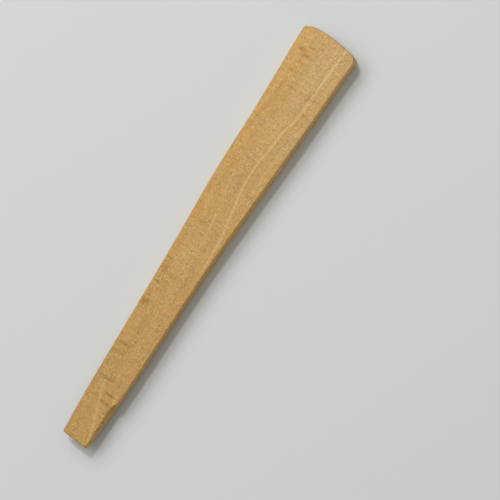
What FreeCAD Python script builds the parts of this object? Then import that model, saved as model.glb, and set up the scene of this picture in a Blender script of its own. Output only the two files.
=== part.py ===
"""Wooden clay modelling tool: one flat stick carved from a single piece of hardwood.

Frame: +X runs along the tool from its narrow end to its broad end, +Y points to its back long edge,
and +Z is up. The tool lies on its flat underside, and the origin is the bottom centre of its box.
Lengths are in millimetres.

The stick is carved the way it is made: a blank is sawn to the plan outline from a flat lath, its
underside is pared up towards the tip, both ends are shaped, a bevel is cut along the front edge, and last
the edges are eased.
"""
import FreeCAD, Part
import os

import Sketcher

NODE = "wooden_tool_body"
CURVE_DEGREE = 3
SKETCH_ORIGIN = (-1, 1)
UPRIGHT_TOLERANCE = 0.01

DIMENSIONS = {
    "length": 200.0,
    "thickness": 6.0,
    "broad_end_crown": 6.0,
    "broad_front_radius": 70.0,
    "broad_back_radius": 15.0,
    "broad_front_sweep": 20.0,
    "broad_back_sweep": 45.0,
    "broad_back_corner": 1.5,
    "broad_front_corner": 3.8,
    "narrow_end_skew": 0.75,
    "narrow_back_corner": 0.8,
    "eased_edge": 0.4,
    "underside_relief_length": 90.0,
    "underside_relief_height": 3.0,
    "bevel_length": 19.5,
    "bevel_inner_edge": 4.9,
    "bevel_width": 1.9,
    "bevel_drop": 2.0,
    "overcut": 3.0,
}

# Distance of each long edge from the X axis, at the control points of its curve, narrow end first.
EDGES = {
    "back_edge": [6.9, 7.5, 8.5, 9.1, 9.9, 10.8, 12.5, 12.1, 12.9, 13.4, 13.5],
    "front_edge": [5.4, 6.7, 7.7, 7.6, 9.4, 12.1, 12.7, 13.9],
}


def write_sheet(doc):
    """Puts every driving dimension in the sheet, each with an alias."""
    rows = dict(DIMENSIONS)
    for edge, distances in EDGES.items():
        rows.update({f"{edge}_{i}": distance for i, distance in enumerate(distances)})
    sheet = doc.addObject("Spreadsheet::Sheet", "dims")
    for row, (alias, number) in enumerate(rows.items(), start=1):
        sheet.set(f"A{row}", alias.replace("_", " "))
        sheet.set(f"B{row}", str(number))
        sheet.setAlias(f"B{row}", alias)
    doc.recompute()


def new_sketch(body, name, plane_role):
    """A sketch on one of the body's own origin planes."""
    sketch = body.newObject("Sketcher::SketchObject", name)
    plane = next(item for item in body.Origin.OriginFeatures if item.Role == plane_role)
    sketch.AttachmentSupport = [(plane, "")]
    sketch.MapMode = "FlatFace"
    return sketch


def point_at(sketch, formulas):
    """The point of the sketch plane that a pair of the sheet's formulas gives."""
    return FreeCAD.Vector(*[float(sketch.evalExpression(formula)) for formula in formulas], 0)


def bind(sketch, constraint, formula):
    """Adds a dimension to the sketch and ties it to the sheet."""
    index = sketch.addConstraint(constraint)
    sketch.setExpression(f"Constraints[{index}]", formula)


def pin_point(sketch, place, formulas):
    """Ties a point of the sketch to a pair of formulas for its distances from the sketch's origin."""
    point = point_at(sketch, formulas)
    bind(sketch, Sketcher.Constraint("DistanceX", *SKETCH_ORIGIN, *place, point.x), formulas[0])
    bind(sketch, Sketcher.Constraint("DistanceY", *SKETCH_ORIGIN, *place, point.y), formulas[1])


def join(sketch, first, second):
    """Makes two end points coincide."""
    sketch.addConstraint(Sketcher.Constraint("Coincident", *first, *second))


def add_polygon(sketch, corners):
    """A closed polygon; each corner is a pair of formulas."""
    points = [point_at(sketch, corner) for corner in corners]
    points.append(points[0])
    lines = [sketch.addGeometry(Part.LineSegment(*ends)) for ends in zip(points, points[1:])]
    for i, line in enumerate(lines):
        join(sketch, (lines[i - 1], 2), (line, 1))
        pin_point(sketch, (line, 1), corners[i])


def knot_fractions(pole_count):
    """Knots of a clamped curve with equal spans, as fractions of its length."""
    spans = pole_count - CURVE_DEGREE
    inner = [i / spans for i in range(1, spans)]
    return [0.0] * (CURVE_DEGREE + 1) + inner + [1.0] * (CURVE_DEGREE + 1)


def pole_fractions(pole_count):
    """Where the control points stand along the tool, so that the curve runs evenly along X."""
    knots = knot_fractions(pole_count)
    return [sum(knots[i + 1:i + 1 + CURVE_DEGREE]) / CURVE_DEGREE for i in range(pole_count)]


def add_edge_curve(sketch, edge, side):
    """One long edge as a smooth curve; side is 1 for the back edge and -1 for the front edge."""
    formulas = []
    for i, fraction in enumerate(pole_fractions(len(EDGES[edge]))):
        formulas.append((f"({fraction} - 0.5) * dims.length", f"{side} * dims.{edge}_{i}"))
    poles = [point_at(sketch, pair) for pair in formulas]
    all_knots = knot_fractions(len(poles))
    knots = sorted(set(all_knots))
    repeats = [all_knots.count(knot) for knot in knots]
    curve = Part.BSplineCurve()
    curve.buildFromPolesMultsKnots(poles, repeats, knots, False, CURVE_DEGREE)
    curve_id = sketch.addGeometry(curve)
    sketch.exposeInternalGeometry(curve_id)
    for i, pair in enumerate(formulas):
        pin_point(sketch, (curve_id + 1 + i, 3), pair)
    return curve_id


def cut_through(body, sketch, name):
    """A pocket that goes right through the body on both sides of its sketch."""
    pocket = body.newObject("PartDesign::Pocket", name)
    pocket.Profile = sketch
    pocket.Type = "ThroughAll"
    pocket.SideType = "Symmetric"
    return pocket


def saw_blank(body):
    """The blank: the plan outline with square ends."""
    sketch = new_sketch(body, "plan_outline", "XY_Plane")
    back = add_edge_curve(sketch, "back_edge", 1)
    front = add_edge_curve(sketch, "front_edge", -1)
    for pole_index, curve_end in ((0, 1), (-1, 2)):
        low = sketch.Geometry[front].getPoles()[pole_index]
        high = sketch.Geometry[back].getPoles()[pole_index]
        line = sketch.addGeometry(Part.LineSegment(low, high))
        join(sketch, (line, 1), (front, curve_end))
        join(sketch, (line, 2), (back, curve_end))
    pad = body.newObject("PartDesign::Pad", "blank")
    pad.Profile = sketch
    pad.setExpression("Length", "dims.thickness")
    return pad


def pare_underside(body):
    """Pares the underside up towards the narrow end, so that the tip stands a little off the table."""
    sketch = new_sketch(body, "underside_relief_outline", "XZ_Plane")
    run = "dims.underside_relief_length / dims.underside_relief_height"
    add_polygon(sketch, [
        (f"-dims.length / 2 - dims.overcut * {run}", "dims.underside_relief_height + dims.overcut"),
        (f"-dims.length / 2 - dims.overcut * {run}", "-dims.overcut"),
        (f"-dims.length / 2 + dims.underside_relief_length + dims.overcut * {run}", "-dims.overcut"),
    ])
    return cut_through(body, sketch, "underside_relief")


def add_end_arc(sketch, name, side):
    """One arc of the broad end, between its crown and the given side; gives the arc and its far end."""
    radius = f"dims.broad_{name}_radius"
    sweep = f"dims.broad_{name}_sweep * 1 deg"
    crown = ("dims.length / 2", "dims.broad_end_crown")

    def place(angle):
        along = f"{crown[0]} - {radius} + {radius} * cos({angle})"
        return along, f"{crown[1]} + {side} * {radius} * sin({angle})"

    far_end = place(sweep)
    path = [far_end, place(f"{sweep} / 2"), crown]
    arc = sketch.addGeometry(Part.Arc(*[point_at(sketch, pair) for pair in path[::-side]]))
    bind(sketch, Sketcher.Constraint("Radius", arc, sketch.Geometry[arc].Radius), radius)
    far_point = (arc, 2 if side > 0 else 1)
    height = point_at(sketch, far_end).y
    bind(sketch, Sketcher.Constraint("DistanceY", *SKETCH_ORIGIN, *far_point, height), far_end[1])
    return arc, far_end


def round_broad_end(body):
    """Trims the broad end to two arcs that meet at its crown: shallow in front and tight at the back."""
    sketch = new_sketch(body, "broad_end_outline", "XY_Plane")
    front_arc, front_end = add_end_arc(sketch, "front", -1)
    back_arc, back_end = add_end_arc(sketch, "back", 1)
    sketch.addConstraint(Sketcher.Constraint("Tangent", front_arc, 2, back_arc, 1))
    pin_point(sketch, (front_arc, 2), ("dims.length / 2", "dims.broad_end_crown"))
    crown_height = point_at(sketch, ("0", "dims.broad_end_crown")).y
    centre_height = Sketcher.Constraint("DistanceY", *SKETCH_ORIGIN, front_arc, 3, crown_height)
    bind(sketch, centre_height, "dims.broad_end_crown")

    outer = "dims.length / 2 + dims.overcut"
    path = [back_end, (outer, back_end[1]), (outer, front_end[1]), front_end]
    points = [point_at(sketch, pair) for pair in path]
    lines = [sketch.addGeometry(Part.LineSegment(*ends)) for ends in zip(points, points[1:])]
    join(sketch, (back_arc, 2), (lines[0], 1))
    join(sketch, (lines[0], 2), (lines[1], 1))
    join(sketch, (lines[1], 2), (lines[2], 1))
    join(sketch, (lines[2], 2), (front_arc, 1))
    pin_point(sketch, (lines[1], 1), path[1])
    pin_point(sketch, (lines[1], 2), path[2])
    return cut_through(body, sketch, "broad_end")


def skew_narrow_end(body):
    """Saws the narrow end off slightly askew, so that its front corner stands out furthest."""
    sketch = new_sketch(body, "narrow_end_outline", "XY_Plane")
    beyond_front = "-2 * dims.front_edge_0 - dims.back_edge_0"
    beyond_back = "2 * dims.back_edge_0 + dims.front_edge_0"
    outer = "-dims.length / 2 - dims.narrow_end_skew - dims.overcut"
    add_polygon(sketch, [
        ("-dims.length / 2 - dims.narrow_end_skew", beyond_front),
        ("-dims.length / 2 + 2 * dims.narrow_end_skew", beyond_back),
        (outer, beyond_back),
        (outer, beyond_front),
    ])
    return cut_through(body, sketch, "narrow_end")


def is_upright(edge):
    """True for an edge that runs straight up the side of the tool."""
    rise = edge.BoundBox.ZMax - edge.BoundBox.ZMin
    return abs(edge.Length - rise) < UPRIGHT_TOLERANCE


def add_fillet(body, name, wanted, radius):
    """Rounds the edges of the body so far that pass the test wanted."""
    base = body.Tip
    edges = [f"Edge{i}" for i, edge in enumerate(base.Shape.Edges, start=1) if wanted(edge)]
    fillet = body.newObject("PartDesign::Fillet", name)
    fillet.Base = (base, edges)
    fillet.setExpression("Radius", f"dims.{radius}")
    return fillet


def round_corner(body, radius, side_x, side_y):
    """Rounds the upright corner that lies on the given sides of the two axes."""
    def wanted(edge):
        middle = edge.CenterOfMass
        return is_upright(edge) and middle.x * side_x > 0 and middle.y * side_y > 0

    return add_fillet(body, radius + "_round", wanted, radius)


def round_broad_back_corner(body):
    """Rounds the broad end's back corner."""
    return round_corner(body, "broad_back_corner", 1, 1)


def round_broad_front_corner(body):
    """Rounds the broad end's front corner."""
    return round_corner(body, "broad_front_corner", 1, -1)


def round_narrow_back_corner(body):
    """Rounds the narrow end's back corner."""
    return round_corner(body, "narrow_back_corner", -1, 1)


def pare_bevel(body):
    """Pares a bevel along the front edge, from the narrow end up to a blunt stop."""
    sketch = new_sketch(body, "front_bevel_section", "YZ_Plane")
    sketch.setExpression(".AttachmentOffset.Base.z", "dims.bevel_length - dims.length / 2")
    slope = "(dims.bevel_drop / dims.bevel_width)"
    roof = "dims.thickness + dims.overcut"
    outer = "-dims.bevel_inner_edge - dims.bevel_width - dims.overcut"
    add_polygon(sketch, [
        (f"-dims.bevel_inner_edge + dims.overcut / {slope}", roof),
        (outer, roof),
        (outer, f"dims.thickness - dims.bevel_drop - dims.overcut * {slope}"),
    ])
    pocket = body.newObject("PartDesign::Pocket", "front_bevel")
    pocket.Profile = sketch
    pocket.setExpression("Length", "dims.bevel_length + dims.overcut")
    return pocket


def ease_edges(body):
    """Takes the sharpness off the edges that run round the top, the underside and the bevel."""
    return add_fillet(body, "eased_edges", lambda edge: not is_upright(edge), "eased_edge")


CARVING_STEPS = [
    pare_underside,
    round_broad_end,
    skew_narrow_end,
    round_broad_back_corner,
    round_broad_front_corner,
    round_narrow_back_corner,
    pare_bevel,
    ease_edges,
]


def carve_body(doc):
    """Makes the tool, and stops if a step takes no wood away."""
    body = doc.addObject("PartDesign::Body", NODE)
    body.Label = NODE
    body.Placement = FreeCAD.Placement()
    feature = saw_blank(body)
    doc.recompute()
    for step in CARVING_STEPS:
        volume = feature.Shape.Volume
        feature = step(body)
        doc.recompute()
        if feature.Shape.isNull() or feature.Shape.Volume >= volume:
            raise RuntimeError(f"{feature.Name} takes no wood away")
    return body


def check_document(doc, body):
    """Stops if any object failed or the finished shape isn't one valid solid."""
    for item in doc.Objects:
        if "Invalid" in item.State or "Error" in item.State:
            raise RuntimeError(f"{item.Name} failed: {item.State}")
    shape = body.Shape
    if shape.isNull() or not shape.isValid() or len(shape.Solids) != 1:
        raise RuntimeError(f"{body.Label} isn't one valid solid")


def main():
    doc = FreeCAD.newDocument("clay_modelling_tool")
    write_sheet(doc)
    body = carve_body(doc)
    check_document(doc, body)
    os.makedirs("parts", exist_ok=True)
    body.Shape.exportStep(f"parts/{body.Label}.step")
    box = body.Shape.optimalBoundingBox(False, False)
    print(f"{body.Label}: {body.Shape.Volume:.1f} mm3, {box}")


main()
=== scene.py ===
"""Looks of the wooden clay modelling tool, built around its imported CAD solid. Everything is in metres.

The CAD solid gives the plan outline, the thickness and the place. One finely meshed piece stands for it,
with eased edges, knife-pared sides, a rounded stop to the bevel at the narrow tip, and a procedural
wood material. X runs along the tool to its broad end, Y to its back edge and Z up.
"""
import math
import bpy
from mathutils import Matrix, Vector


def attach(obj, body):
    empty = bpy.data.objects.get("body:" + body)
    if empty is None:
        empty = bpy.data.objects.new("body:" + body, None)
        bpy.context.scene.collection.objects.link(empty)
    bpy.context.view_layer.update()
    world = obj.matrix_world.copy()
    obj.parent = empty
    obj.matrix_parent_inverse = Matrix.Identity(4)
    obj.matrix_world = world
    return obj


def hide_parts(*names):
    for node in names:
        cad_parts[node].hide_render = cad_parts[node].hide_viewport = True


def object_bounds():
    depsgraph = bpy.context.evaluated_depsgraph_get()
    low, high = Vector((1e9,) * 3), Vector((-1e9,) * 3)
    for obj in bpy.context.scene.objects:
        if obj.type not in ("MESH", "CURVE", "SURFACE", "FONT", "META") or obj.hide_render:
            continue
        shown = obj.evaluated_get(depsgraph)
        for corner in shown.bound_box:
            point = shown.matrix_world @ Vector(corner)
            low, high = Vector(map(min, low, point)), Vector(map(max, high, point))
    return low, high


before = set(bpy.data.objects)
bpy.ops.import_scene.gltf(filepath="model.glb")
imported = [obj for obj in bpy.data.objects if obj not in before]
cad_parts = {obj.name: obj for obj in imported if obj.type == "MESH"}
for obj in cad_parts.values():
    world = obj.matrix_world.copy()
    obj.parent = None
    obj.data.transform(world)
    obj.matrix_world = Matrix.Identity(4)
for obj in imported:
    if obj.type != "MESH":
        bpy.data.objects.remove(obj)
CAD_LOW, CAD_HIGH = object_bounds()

from types import SimpleNamespace

import bmesh
import bpy
import numpy as np
from mathutils import Matrix, Vector, noise

NODE = "wooden_tool_body"
MM = 0.001

# How finely the tool is meshed.
CELLS_ALONG = 560
CELLS_ACROSS = 56
ROUND_STEPS = 4
SIDE_STEPS = 5

# How the CAD solid is read: its outline is cut a little above the tip's underside, and its underside is
# the faces whose normal's Z is below LOOKS_DOWN, slivers left out.
SLICE_CLEARANCE = 0.4 * MM
SMALLEST_FACE = 0.2 * MM * MM
LOOKS_DOWN = -0.998
OUTLINE_POINTS = 6000
OUTLINE_SMOOTHING = 0.3 * MM

# What carving and use leave on the wood: eased edges, and slight waves that stay inside the CAD box.
TOP_ROUND = 0.42 * MM
BOTTOM_ROUND = 0.38 * MM
WEAR_REACH = 0.5 * MM
TOP_CLEARANCE = 0.06 * MM
TOP_SWAY = 0.045 * MM
TOP_RIPPLE = 0.012 * MM
UNDERSIDE_SWAY = 0.02 * MM
SIDE_CLEARANCE = 0.04 * MM
SIDE_FLATS = 0.06 * MM
SIDE_NICKS = 0.02 * MM
SIDE_BELLY = 0.05 * MM

# The bevel along the front edge at the narrow end, and the slanting stop where it leaves the edge.
BEVEL_STOP = CAD_LOW.x + 19.5 * MM
BEVEL_STOP_LENGTH = 0.9 * MM
BEVEL_STOP_SLANT = 1.6
BEVEL_INNER = -4.9 * MM
BEVEL_WIDTH = 1.9 * MM
BEVEL_DROP = 1.9 * MM
BEVEL_POWER = 1.18

# Screen colours, from 0 to 255.
WOOD_DARK = (126, 86, 34)
WOOD_MID = (188, 148, 82)
WOOD_PALE = (230, 197, 142)
TABLE_COLOUR = (205, 207, 206)

# What the wood's colour is multiplied by: in its warmer and cooler places, along the back edge,
# at the front of the broad end, and in the marks across the grain.
WARM_TINT = (1.03, 1.0, 0.93, 1.0)
COOL_TINT = (0.98, 1.0, 1.06, 1.0)
BACK_TINT = (1.05, 1.0, 0.86, 1.0)
FRONT_TINT = (0.99, 1.01, 1.13, 1.0)
MARK_TINT = (0.90, 0.82, 0.63, 1.0)

WOOD_IOR = 1.45
GRAIN_RELIEF = 0.07 * MM
TABLE_ROUGHNESS = 0.7

# From here to the cross marks, places and sizes in the wood are in millimetres.
PITH_DEPTH = 30.0
RING_SPACING = 1.5
RING_WAVER = 3.5

# The pale grain line, which rises to a peak and which all the grain follows: x, y.
PALE_LINE = [
    (-100.0, -7.5), (-50.0, -6.8), (-15.0, -6.7), (2.0, -6.0), (16.0, -3.8), (34.0, -1.7),
    (46.0, -3.0), (56.0, -3.9), (63.0, -5.8), (77.0, -6.5), (100.0, -8.0),
]

# The pale band that crosses the tip: its y where x is 0, its slope, and where it fades out along x.
BAND_Y = 28.4
BAND_SLOPE = 0.345
BAND_FADES = (-69.0, -75.0)

# Marks across the grain: x, y, half length across, half width along, strength; below 0 for a pale one.
CROSS_MARKS = [
    (-80.0, -2.5, 4.5, 0.9, 0.85),
    (-76.5, -5.0, 1.0, 2.6, -0.70),
    (-76.0, -2.0, 4.5, 0.8, 0.75),
    (-70.5, 2.5, 6.0, 0.9, 0.70),
    (-59.0, 5.5, 3.5, 1.3, 0.30),
    (-54.5, 5.5, 4.5, 0.9, 0.75),
    (-35.0, 7.5, 3.0, 1.9, 0.90),
    (-25.0, 8.0, 3.0, 0.8, 0.70),
    (-20.5, 3.0, 4.5, 0.9, 0.40),
    (-18.5, 8.0, 3.0, 2.9, 0.50),
    (-14.0, 8.0, 2.5, 0.8, 0.50),
    (5.5, 4.5, 2.5, 1.2, 0.40),
    (24.5, -7.0, 3.0, 1.2, 0.45),
    (65.5, -7.5, 2.5, 0.8, 0.50),
    (73.0, -6.0, 6.5, 1.1, 0.50),
    (73.0, 5.5, 4.5, 0.7, 0.40),
    (79.5, 8.0, 5.0, 0.8, 0.45),
    (84.0, 6.0, 4.0, 0.9, 0.50),
    (87.5, 5.5, 3.0, 1.0, 0.85),
    (89.0, 8.5, 2.5, 1.4, 0.90),
    (91.5, 4.5, 2.5, 0.7, 0.60),
]

# Camera: where it looks, how far it leans to the front edge, how the tool lies in the picture.
CAMERA_TARGET = Vector((6.6, -17.6, 0.0)) * MM
CAMERA_LEAN = math.radians(14.0)
CAMERA_ROLL = math.radians(57.4)
CAMERA_LENS = 250.0
SENSOR_WIDTH = 36.0
FIELD_WIDTH = 208.8 * MM

# Stage: half the side of the table top, and the light of the windows and of the pale room.
TABLE_REACH = 4.0
WINDOW_COLOUR = (0.978, 1.0, 1.05)
ROOM_COLOUR = (1.03, 1.0, 0.915, 1.0)
ROOM_STRENGTH = 0.42


def smoothstep(low, high, values):
    """0 below low, 1 above high, and a smooth ramp between."""
    t = np.clip((values - low) / (high - low), 0.0, 1.0)
    return t * t * (3.0 - 2.0 * t)


def wander(points, size, seed):
    """Smooth noise from -1 to 1 at each point; size is its feature size along X, Y and Z."""
    shift = Vector((seed * 17.3, seed * 5.1, seed * 9.7))
    scale = Vector((1.0 / size[0], 1.0 / size[1], 1.0 / size[2]))
    return np.array([noise.noise(Vector(p) * scale + shift) for p in points])


# ---------------------------------------------------------------- shape

def slice_outline(node, height):
    """The loop in which a level plane cuts the CAD solid, as an array of plan points."""
    bm = bmesh.new()
    bm.from_mesh(node.data)
    bmesh.ops.remove_doubles(bm, verts=bm.verts[:], dist=1e-6)
    everything = bm.verts[:] + bm.edges[:] + bm.faces[:]
    plane = {"plane_co": (0, 0, height), "plane_no": (0, 0, 1)}
    bmesh.ops.bisect_plane(bm, geom=everything, clear_inner=True, clear_outer=True, **plane)
    start = bm.verts[:][0]
    loop = [start]
    edge = start.link_edges[0]
    while True:
        vertex = edge.other_vert(loop[-1])
        if vertex is start:
            break
        loop.append(vertex)
        edge = next(other for other in vertex.link_edges if other is not edge)
    points = np.array([(v.co.x, v.co.y) for v in loop])
    bm.free()
    following = np.roll(points, -1, axis=0)
    area = np.sum(points[:, 0] * following[:, 1] - following[:, 0] * points[:, 1])
    return points if area > 0 else points[::-1]


def resample_loop(points, count):
    """The closed loop with count evenly spaced points."""
    closed = np.vstack([points, points[:1]])
    reach = np.r_[0.0, np.cumsum(np.linalg.norm(np.diff(closed, axis=0), axis=1))]
    wanted = np.linspace(0.0, reach[-1], count, endpoint=False)
    return np.column_stack([np.interp(wanted, reach, closed[:, i]) for i in (0, 1)])


def smooth_loop(points, sigma):
    """The closed loop, smoothed by a bell curve whose sigma is a count of points."""
    reach = int(4 * sigma) + 1
    offsets = np.arange(-reach, reach + 1)
    weights = np.exp(-0.5 * (offsets / sigma) ** 2)
    weights /= weights.sum()
    return sum(weight * np.roll(points, offset, axis=0) for weight, offset in zip(weights, offsets))


def part_of_loop(points, first, last, cells):
    """The stretch of the loop from one index to another, as cells + 1 evenly spaced points."""
    indices = np.arange(first, last + 1 if last > first else last + 1 + len(points)) % len(points)
    stretch = points[indices]
    reach = np.r_[0.0, np.cumsum(np.linalg.norm(np.diff(stretch, axis=0), axis=1))]
    wanted = np.linspace(0.0, reach[-1], cells + 1)
    return np.column_stack([np.interp(wanted, reach, stretch[:, i]) for i in (0, 1)])


def perimeter_of(node, height):
    """The plan outline at a height as one loop: front edge, broad end, back edge, narrow end."""
    loop = resample_loop(slice_outline(node, height), OUTLINE_POINTS)
    spacing = np.linalg.norm(loop[1] - loop[0])
    loop = smooth_loop(loop, OUTLINE_SMOOTHING / spacing)
    diagonals = np.array([(-1, -1), (1, -1), (1, 1), (-1, 1)])
    corners = [int(np.argmax(loop @ diagonal)) for diagonal in diagonals]
    sides = []
    for i, cells in enumerate((CELLS_ALONG, CELLS_ACROSS, CELLS_ALONG, CELLS_ACROSS)):
        sides.append(part_of_loop(loop, corners[i], corners[(i + 1) % 4], cells)[:-1])
    return np.vstack(sides)


def outward_normals(loop):
    """Unit normals of a loop that runs anticlockwise, pointing out of it."""
    along = np.roll(loop, -1, axis=0) - np.roll(loop, 1, axis=0)
    normals = np.column_stack([along[:, 1], -along[:, 0]])
    return normals / np.linalg.norm(normals, axis=1)[:, None]


def fill_grid(loop):
    """The loop's inside as a grid of plan points (a Coons patch), along X by across Y."""
    n, m = CELLS_ALONG, CELLS_ACROSS
    front = loop[0:n + 1]
    broad = loop[n:n + m + 1]
    back = loop[n + m:2 * n + m + 1][::-1]
    narrow = np.vstack([loop[2 * n + m:], loop[:1]])[::-1]
    s = np.linspace(0.0, 1.0, n + 1)[:, None, None]
    t = np.linspace(0.0, 1.0, m + 1)[None, :, None]
    across = (1 - t) * front[:, None, :] + t * back[:, None, :]
    along = (1 - s) * narrow[None, :, :] + s * broad[None, :, :]
    corners = (1 - s) * ((1 - t) * front[0] + t * back[0]) + s * ((1 - t) * front[-1] + t * back[-1])
    return across + along - corners


def rim_distance(grid):
    """Distance of each grid point from the nearest of the four rims, measured along the grid."""
    rims = (grid[:, :1], grid[:, -1:], grid[:1, :], grid[-1:, :])
    return np.min([np.linalg.norm(grid - rim, axis=2) for rim in rims], axis=0)


def underside_along(node):
    """Height of the CAD solid's underside, as a function of X, from its faces that look down."""
    faces = [face for face in node.data.polygons if face.area > SMALLEST_FACE]
    faces = [face for face in faces if face.normal.z < LOOKS_DOWN]
    places = sorted({tuple(node.data.vertices[i].co) for face in faces for i in face.vertices})
    along, heights = [co[0] for co in places], [co[2] for co in places]
    return lambda x: np.interp(x, along, heights)


def bevel_depth(plan):
    """How deep the bevel is cut below the top face at each plan point."""
    beyond = np.clip(BEVEL_INNER - plan[:, 1], 0.0, None)
    past_stop = plan[:, 0] - BEVEL_STOP - BEVEL_STOP_SLANT * beyond
    stopped = 1.0 - smoothstep(-BEVEL_STOP_LENGTH, 0.0, past_stop)
    return BEVEL_DROP * (beyond / BEVEL_WIDTH) ** BEVEL_POWER * stopped


def top_height(plan):
    """Height of the carved top at each plan point."""
    points = np.column_stack([plan, np.zeros(len(plan))])
    sway = TOP_SWAY * wander(points, (0.030, 0.012, 1.0), 1)
    ripple = TOP_RIPPLE * wander(points, (0.006, 0.0025, 1.0), 2)
    return CAD_HIGH.z - TOP_CLEARANCE + sway + ripple - bevel_depth(plan)


def bottom_height(plan, underside):
    """Height of the underside at each plan point, never below the CAD solid's."""
    points = np.column_stack([plan, np.zeros(len(plan))])
    sway = UNDERSIDE_SWAY * (1.0 + wander(points, (0.020, 0.008, 1.0), 3))
    return underside(plan[:, 0]) + sway


def pare_side(loop, normals, share):
    """A ring of the side, with the small flats of a knife; share is how far down the side it lies."""
    points = np.column_stack([loop, np.full(len(loop), share * 0.01)])
    flats = SIDE_FLATS * wander(points, (0.022, 0.022, 0.012), 4)
    nicks = SIDE_NICKS * wander(points, (0.004, 0.004, 0.004), 5)
    belly = SIDE_BELLY * math.sin(math.pi * share)
    return loop + normals * (flats + nicks + belly - SIDE_CLEARANCE)[:, None]


def tool_rings(loop, normals, underside):
    """Rings of points from the top's rim, over the eased edge, down the side and under."""
    rings = []
    for step in range(ROUND_STEPS + 1):
        angle = 0.5 * math.pi * step / ROUND_STEPS
        plan = pare_side(loop, normals, 0.0) - normals * TOP_ROUND * (1.0 - math.sin(angle))
        rings.append((plan, top_height(plan) - TOP_ROUND * (1.0 - math.cos(angle))))
    edge_top = rings[-1][1]
    foot = []
    for step in range(ROUND_STEPS + 1):
        angle = 0.5 * math.pi * (1.0 - step / ROUND_STEPS)
        plan = pare_side(loop, normals, 1.0) - normals * BOTTOM_ROUND * (1.0 - math.sin(angle))
        foot.append((plan, bottom_height(plan, underside) + BOTTOM_ROUND * (1.0 - math.cos(angle))))
    edge_bottom = foot[0][1]
    for step in range(1, SIDE_STEPS):
        share = step / SIDE_STEPS
        rings.append((pare_side(loop, normals, share), edge_top + share * (edge_bottom - edge_top)))
    return rings + foot


def build_tool(node):
    """The carved tool as one closed mesh."""
    underside = underside_along(node)
    loop = perimeter_of(node, float(underside(CAD_LOW.x)) + SLICE_CLEARANCE)
    normals = outward_normals(loop)
    rings = tool_rings(loop, normals, underside)
    n, m = CELLS_ALONG, CELLS_ACROSS
    ring_size = len(loop)
    vertices = [np.column_stack([plan, height]) for plan, height in rings]

    # Where each grid point of a lid lies in its rim, or -1 inside.
    rim = np.full((n + 1, m + 1), -1)
    rim[:, 0] = np.arange(0, n + 1)
    rim[n, :] = np.arange(n, n + m + 1)
    rim[:, m] = np.arange(n + m, 2 * n + m + 1)[::-1]
    rim[0, 1:m] = np.arange(2 * n + m + 1, ring_size)[::-1]
    inside = rim < 0

    faces = []
    wear = [np.ones(len(rings) * ring_size)]
    for ring in range(len(rings) - 1):
        here = ring * ring_size + np.arange(ring_size)
        ahead = ring * ring_size + (np.arange(ring_size) + 1) % ring_size
        faces.append(np.column_stack([here, here + ring_size, ahead + ring_size, ahead]))
    start = len(rings) * ring_size
    for ring, is_top in ((0, True), (len(rings) - 1, False)):
        grid = fill_grid(rings[ring][0])
        plan = grid[inside]
        height = top_height(plan) if is_top else bottom_height(plan, underside)
        vertices.append(np.column_stack([plan, height]))
        wear.append(np.exp(-rim_distance(grid)[inside] / WEAR_REACH))
        index = rim + ring * ring_size
        index[inside] = start + np.arange(inside.sum())
        start += int(inside.sum())
        quad = [index[:-1, :-1], index[1:, :-1], index[1:, 1:], index[:-1, 1:]]
        quads = np.column_stack([corner.ravel() for corner in quad])
        faces.append(quads if is_top else quads[:, ::-1])

    mesh = bpy.data.meshes.new("carved_tool")
    mesh.from_pydata(np.vstack(vertices).tolist(), [], np.vstack(faces).tolist())
    mesh.validate()
    mesh.polygons.foreach_set("use_smooth", [True] * len(mesh.polygons))
    mesh.attributes.new("wear", "FLOAT", "POINT").data.foreach_set("value", np.concatenate(wear))
    tool = bpy.data.objects.new("carved_tool", mesh)
    bpy.context.scene.collection.objects.link(tool)
    return tool


# ---------------------------------------------------------------- materials

def linear(red, green, blue):
    """A screen colour, 0 to 255, as the linear colour that a shader takes."""
    def channel(value):
        share = value / 255
        return share / 12.92 if share <= 0.04045 else ((share + 0.055) / 1.055) ** 2.4

    return (channel(red), channel(green), channel(blue), 1.0)


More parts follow.
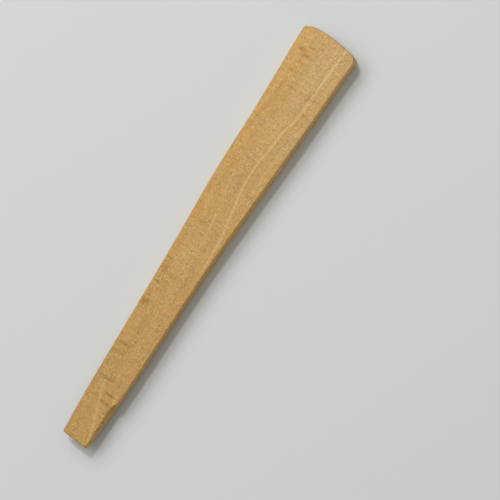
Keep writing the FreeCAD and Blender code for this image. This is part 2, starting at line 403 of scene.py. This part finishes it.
class Graph:
    """Shader nodes of one material; an input is a number, a colour or another node's output."""

    def __init__(self, name):
        self.material = bpy.data.materials.new(name)
        self.material.use_nodes = True
        self.nodes = self.material.node_tree.nodes
        self.links = self.material.node_tree.links
        self.shader = self.nodes["Principled BSDF"]

    def plug(self, socket, value):
        if isinstance(value, bpy.types.NodeSocket):
            self.links.new(value, socket)
        else:
            socket.default_value = value

    def node(self, kind, inputs, **settings):
        node = self.nodes.new(kind)
        for name, value in settings.items():
            setattr(node, name, value)
        for socket, value in inputs.items():
            self.plug(node.inputs[socket], value)
        return node

    def calc(self, operation, *values):
        return self.node("ShaderNodeMath", dict(enumerate(values)), operation=operation).outputs[0]

    def mixture(self, start, *layers):
        """start plus every layer times its strength."""
        for layer, strength in layers:
            start = self.calc("MULTIPLY_ADD", layer, strength, start)
        return start

    def shift(self, vector, offset):
        node = self.node("ShaderNodeVectorMath", {0: vector, 1: offset}, operation="ADD")
        return node.outputs["Vector"]

    def stretch(self, vector, factors):
        node = self.node("ShaderNodeVectorMath", {0: vector, 1: factors}, operation="MULTIPLY")
        return node.outputs["Vector"]

    def length(self, vector):
        return self.node("ShaderNodeVectorMath", {0: vector}, operation="LENGTH").outputs["Value"]

    def noise(self, vector, sizes, detail=2.0, roughness=0.5, distortion=0.0):
        """Noise centred on 0 whose features have the given sizes along the vector's axes."""
        inputs = {
            "Vector": self.stretch(vector, tuple(1.0 / size for size in sizes)),
            "Scale": 1.0,
            "Detail": detail,
            "Roughness": roughness,
            "Distortion": distortion,
        }
        return self.calc("SUBTRACT", self.node("ShaderNodeTexNoise", inputs).outputs["Fac"], 0.5)

    def step(self, value, low, high):
        """A smooth ramp from 0 at low to 1 at high, where high may be the smaller one."""
        inputs = {"Value": value, "From Min": low, "From Max": high}
        return self.node("ShaderNodeMapRange", inputs, interpolation_type="SMOOTHSTEP").outputs["Result"]

    def blend(self, factor, first, second, mode="MIX"):
        """A colour between two, or the first one worked on by the second in another mode."""
        inputs = {0: factor, 6: first, 7: second}
        return self.node("ShaderNodeMix", inputs, data_type="RGBA", blend_type=mode).outputs[2]

    def curve(self, value, points):
        """A smooth curve through (value, result) points, with both in 0 to 1."""
        node = self.node("ShaderNodeFloatCurve", {"Value": value})
        curve = node.mapping.curves[0]
        curve.points[0].location = points[0]
        curve.points[1].location = points[-1]
        for x, y in points[1:-1]:
            curve.points.new(x, y)
        node.mapping.update()
        return node.outputs["Value"]

    def ramp(self, value, stops):
        """The colour at a value between (position, colour) stops."""
        node = self.node("ShaderNodeValToRGB", {"Fac": value})
        elements = node.color_ramp.elements
        elements[0].position, elements[0].color = stops[0]
        elements[1].position, elements[1].color = stops[-1]
        for position, colour in stops[1:-1]:
            elements.new(position).color = colour
        return node.outputs["Color"]


def grain_line(graph, x):
    """Sideways place in millimetres of the pale grain line that all the grain follows."""
    (first_x, _), (last_x, _) = PALE_LINE[0], PALE_LINE[-1]
    span_x = last_x - first_x
    low_y, span_y = -15.0, 20.0
    points = [((at_x - first_x) / span_x, (at_y - low_y) / span_y) for at_x, at_y in PALE_LINE]
    share = graph.curve(graph.calc("MULTIPLY_ADD", x, 1.0 / span_x, -first_x / span_x), points)
    return graph.calc("MULTIPLY_ADD", share, span_y, low_y)


def cross_marks(graph, place, waver):
    """Dark marks across the grain, as one value that is 1 in the strongest."""
    marks = 0.0
    for x, y, half_length, half_width, strength in CROSS_MARKS:
        from_middle = graph.shift(place, (-x, -y, 0.0))
        distance = graph.length(graph.stretch(from_middle, (1.0 / half_width, 1.0 / half_length, 0.0)))
        rough_distance = graph.calc("MULTIPLY_ADD", waver, 0.9, distance)
        marks = graph.calc("MULTIPLY_ADD", graph.step(rough_distance, 1.25, 0.15), strength, marks)
    return marks


def growth_rings(graph, wood):
    """Rings about a pith far below the tool, as a value from -1 to 1."""
    depth = graph.calc("ADD", wood.z, PITH_DEPTH)
    squares = graph.calc("ADD", graph.calc("POWER", wood.grain, 2.0), graph.calc("POWER", depth, 2.0))
    turns = graph.calc("MULTIPLY", graph.calc("SQRT", squares), 2 * math.pi / RING_SPACING)
    return graph.calc("SINE", graph.calc("MULTIPLY_ADD", wood.blotches, RING_WAVER, turns))


def wood_layout(graph):
    """Where a point of the wood lies, in millimetres and along the grain, and how its surface faces."""
    coordinates = graph.node("ShaderNodeTexCoord", {})
    wood = SimpleNamespace()
    wood.place = graph.stretch(coordinates.outputs["Object"], (1000.0, 1000.0, 1000.0))
    wood.x, wood.y, wood.z = graph.node("ShaderNodeSeparateXYZ", {0: wood.place}).outputs
    wood.grain = graph.calc("SUBTRACT", wood.y, grain_line(graph, wood.x))
    wood.flow = graph.node("ShaderNodeCombineXYZ", {0: wood.x, 1: wood.grain, 2: wood.z}).outputs[0]
    facing = graph.node("ShaderNodeSeparateXYZ", {0: coordinates.outputs["Normal"]}).outputs
    wood.on_top = graph.step(facing["Z"], 0.3, 0.8)
    wood.on_end = graph.step(graph.calc("ABSOLUTE", facing["X"]), 0.2, 0.7)
    wood.wear = graph.node("ShaderNodeAttribute", {}, attribute_name="wear").outputs["Fac"]
    return wood


def add_figure(graph, wood):
    """The wood's own figure, from the broadest to the finest."""
    wood.blotches = graph.noise(wood.flow, (24.0, 6.0, 6.0), 3.0)
    wood.tint = graph.noise(wood.place, (8.0, 4.0, 4.0), 2.0)
    wood.streaks = graph.noise(wood.flow, (40.0, 1.3, 1.3), 4.0, 0.6, 0.4)
    wood.mottle = graph.noise(wood.flow, (0.85, 0.65, 0.65), 3.0, 0.6, 0.6)
    patches = graph.step(graph.noise(wood.flow, (11.0, 5.0, 5.0), 2.0), -0.12, 0.14)
    wood.speckle = graph.calc("MULTIPLY", wood.mottle, graph.calc("MULTIPLY_ADD", patches, 0.65, 0.58))
    wood.fibres = graph.noise(wood.flow, (12.0, 0.16, 0.16), 2.0)
    wood.chatter = graph.noise(wood.place, (1.0, 6.0, 6.0), 2.0)
    wood.pores = graph.step(graph.noise(wood.flow, (2.2, 0.28, 0.28), 2.0), 0.10, 0.20)
    wood.rings = growth_rings(graph, wood)


def add_top_marks(graph, wood):
    """What is plain to see on the top face: the pale line and band, and the marks across the grain."""
    line_distance = graph.calc("MULTIPLY_ADD", wood.mottle, 1.1, graph.calc("ABSOLUTE", wood.grain))
    line_start = graph.step(wood.x, -24.0, 4.0)
    line_strength = graph.calc("MULTIPLY", line_start, graph.step(wood.tint, -0.45, -0.08))
    line = graph.calc("MULTIPLY", graph.step(line_distance, 0.85, 0.10), line_strength)
    band_middle = graph.calc("MULTIPLY_ADD", wood.x, BAND_SLOPE, BAND_Y)
    from_band = graph.calc("ABSOLUTE", graph.calc("SUBTRACT", wood.y, band_middle))
    band_distance = graph.calc("MULTIPLY_ADD", wood.mottle, 1.8, from_band)
    band = graph.calc("MULTIPLY", graph.step(band_distance, 1.0, 0.1), graph.step(wood.x, *BAND_FADES))
    wood.pale = graph.calc("MULTIPLY", graph.mixture(line, (band, 0.7)), wood.on_top)
    wood.marks = graph.calc("MULTIPLY", cross_marks(graph, wood.place, wood.mottle), wood.on_top)


def wood_colour(graph, wood):
    """From dark to pale wood by tone, with painted light in it, and then warmer, cooler and browner in
    places.
    """
    tone = graph.mixture(
        0.66,
        # Painted light: the wood is painted paler towards the broad end, where the light falls stronger.
        (wood.x, 0.0007),
        (wood.blotches, 0.14),
        (wood.streaks, 0.17),
        (wood.speckle, 1.05),
        (wood.fibres, 0.07),
        (wood.chatter, 0.24),
        (wood.rings, graph.mixture(0.02, (wood.on_end, 0.05))),
        (wood.pores, -0.16),
        (wood.pale, 0.18),
        (wood.marks, -0.16),
        (wood.wear, -0.05),
        (wood.on_end, -0.24),
        # Painted light: the sides and the underside are painted paler than the top, standing in for the
        # light that bounces onto them.
        (wood.on_top, -0.16),
    )
    stops = [(0.0, linear(*WOOD_DARK)), (0.5, linear(*WOOD_MID)), (1.0, linear(*WOOD_PALE))]
    colour = graph.ramp(tone, stops)
    tints = graph.blend(graph.step(wood.tint, -0.2, 0.2), WARM_TINT, COOL_TINT)
    colour = graph.blend(1.0, colour, tints, "MULTIPLY")
    colour = graph.blend(wood.marks, colour, MARK_TINT, "MULTIPLY")
    near_back = graph.step(wood.y, 3.0, 12.0)
    near_front = graph.step(wood.y, 3.0, -8.0)
    near_broad_end = graph.step(wood.x, 20.0, 85.0)
    colour = graph.blend(near_back, colour, BACK_TINT, "MULTIPLY")
    return graph.blend(graph.calc("MULTIPLY", near_broad_end, near_front), colour, FRONT_TINT, "MULTIPLY")


def build_wood():
    """Pale, fine-grained hardwood, bare and matt, with its grain running along the tool."""
    graph = Graph("carved_hardwood")
    wood = wood_layout(graph)
    add_figure(graph, wood)
    add_top_marks(graph, wood)
    roughness = graph.mixture(0.62, (wood.speckle, 0.35), (wood.pores, 0.15), (wood.wear, -0.10))
    relief = graph.mixture(
        0.0,
        (wood.speckle, 1.0),
        (wood.streaks, 0.5),
        (wood.fibres, 0.35),
        (wood.chatter, 0.4),
        (wood.pores, -0.5),
        (wood.marks, -0.5),
    )
    bump = graph.node("ShaderNodeBump", {"Strength": 1.0, "Distance": GRAIN_RELIEF, "Height": relief})
    graph.plug(graph.shader.inputs["Base Color"], wood_colour(graph, wood))
    graph.plug(graph.shader.inputs["Roughness"], roughness)
    graph.plug(graph.shader.inputs["Normal"], bump.outputs["Normal"])
    graph.shader.inputs["IOR"].default_value = WOOD_IOR
    return graph.material


def build_table_top():
    """A plain, pale, matt table."""
    graph = Graph("pale_table")
    graph.shader.inputs["Base Color"].default_value = linear(*TABLE_COLOUR)
    graph.shader.inputs["Roughness"].default_value = TABLE_ROUGHNESS
    return graph.material


# ---------------------------------------------------------------- stage

def add_floor():
    """The pale table top, level with the tool's underside."""
    mesh = bpy.data.meshes.new("table_top")
    signs = ((-1, -1), (1, -1), (1, 1), (-1, 1))
    corners = [(x * TABLE_REACH, y * TABLE_REACH, 0.0) for x, y in signs]
    mesh.from_pydata(corners, [], [(0, 1, 2, 3)])
    floor = bpy.data.objects.new("table_top", mesh)
    bpy.context.scene.collection.objects.link(floor)
    mesh.materials.append(build_table_top())


def add_window(name, place, facing, width, height, power):
    """A soft oval light at a place; facing is the direction from the table that it is square to."""
    light = bpy.data.lights.new(name, "AREA")
    light.shape = "ELLIPSE"
    light.size = width
    light.size_y = height
    light.energy = power
    light.color = WINDOW_COLOUR
    lamp = bpy.data.objects.new(name, light)
    bpy.context.scene.collection.objects.link(lamp)
    lamp.location = place
    lamp.rotation_mode = "QUATERNION"
    lamp.rotation_quaternion = Vector(facing).to_track_quat("Z", "Y")


def add_light():
    """A small bright window above a long low one, both beyond the back edge, and a pale room."""
    add_window("high_window", (0.85, 1.18, 1.99), (0.43, 0.59, 1.0), 0.44, 0.44, 17.9)
    add_window("low_window", (0.80, 2.06, 1.58), (0.0, 1.30, 1.0), 4.0, 1.24, 52.0)
    world = bpy.data.worlds.new("room")
    bpy.context.scene.world = world
    world.use_nodes = True
    background = world.node_tree.nodes["Background"]
    background.inputs["Color"].default_value = ROOM_COLOUR
    background.inputs["Strength"].default_value = ROOM_STRENGTH


def add_camera():
    """Looks down on the tool, leaning towards its front edge, with the broad end at the upper right."""
    toward_camera = Vector((0, -math.sin(CAMERA_LEAN), math.cos(CAMERA_LEAN)))
    along = Vector((1, 0, 0))
    across = toward_camera.cross(along)
    right = math.cos(CAMERA_ROLL) * along - math.sin(CAMERA_ROLL) * across
    up = math.sin(CAMERA_ROLL) * along + math.cos(CAMERA_ROLL) * across
    data = bpy.data.cameras.new("camera")
    data.lens = CAMERA_LENS
    data.sensor_width = SENSOR_WIDTH
    data.clip_start = 0.01
    data.clip_end = 20.0
    camera = bpy.data.objects.new("camera", data)
    bpy.context.scene.collection.objects.link(camera)
    distance = FIELD_WIDTH * CAMERA_LENS / SENSOR_WIDTH
    rotation = Matrix((right, up, toward_camera)).transposed()
    camera.matrix_world = Matrix.Translation(CAMERA_TARGET + toward_camera * distance) @ rotation.to_4x4()
    bpy.context.scene.camera = camera


def main():
    tool = build_tool(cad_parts[NODE])
    tool.data.materials.append(build_wood())
    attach(tool, "root")
    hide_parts(NODE)
    add_floor()
    add_light()
    add_camera()
    bpy.context.scene.view_settings.view_transform = "Standard"


main()
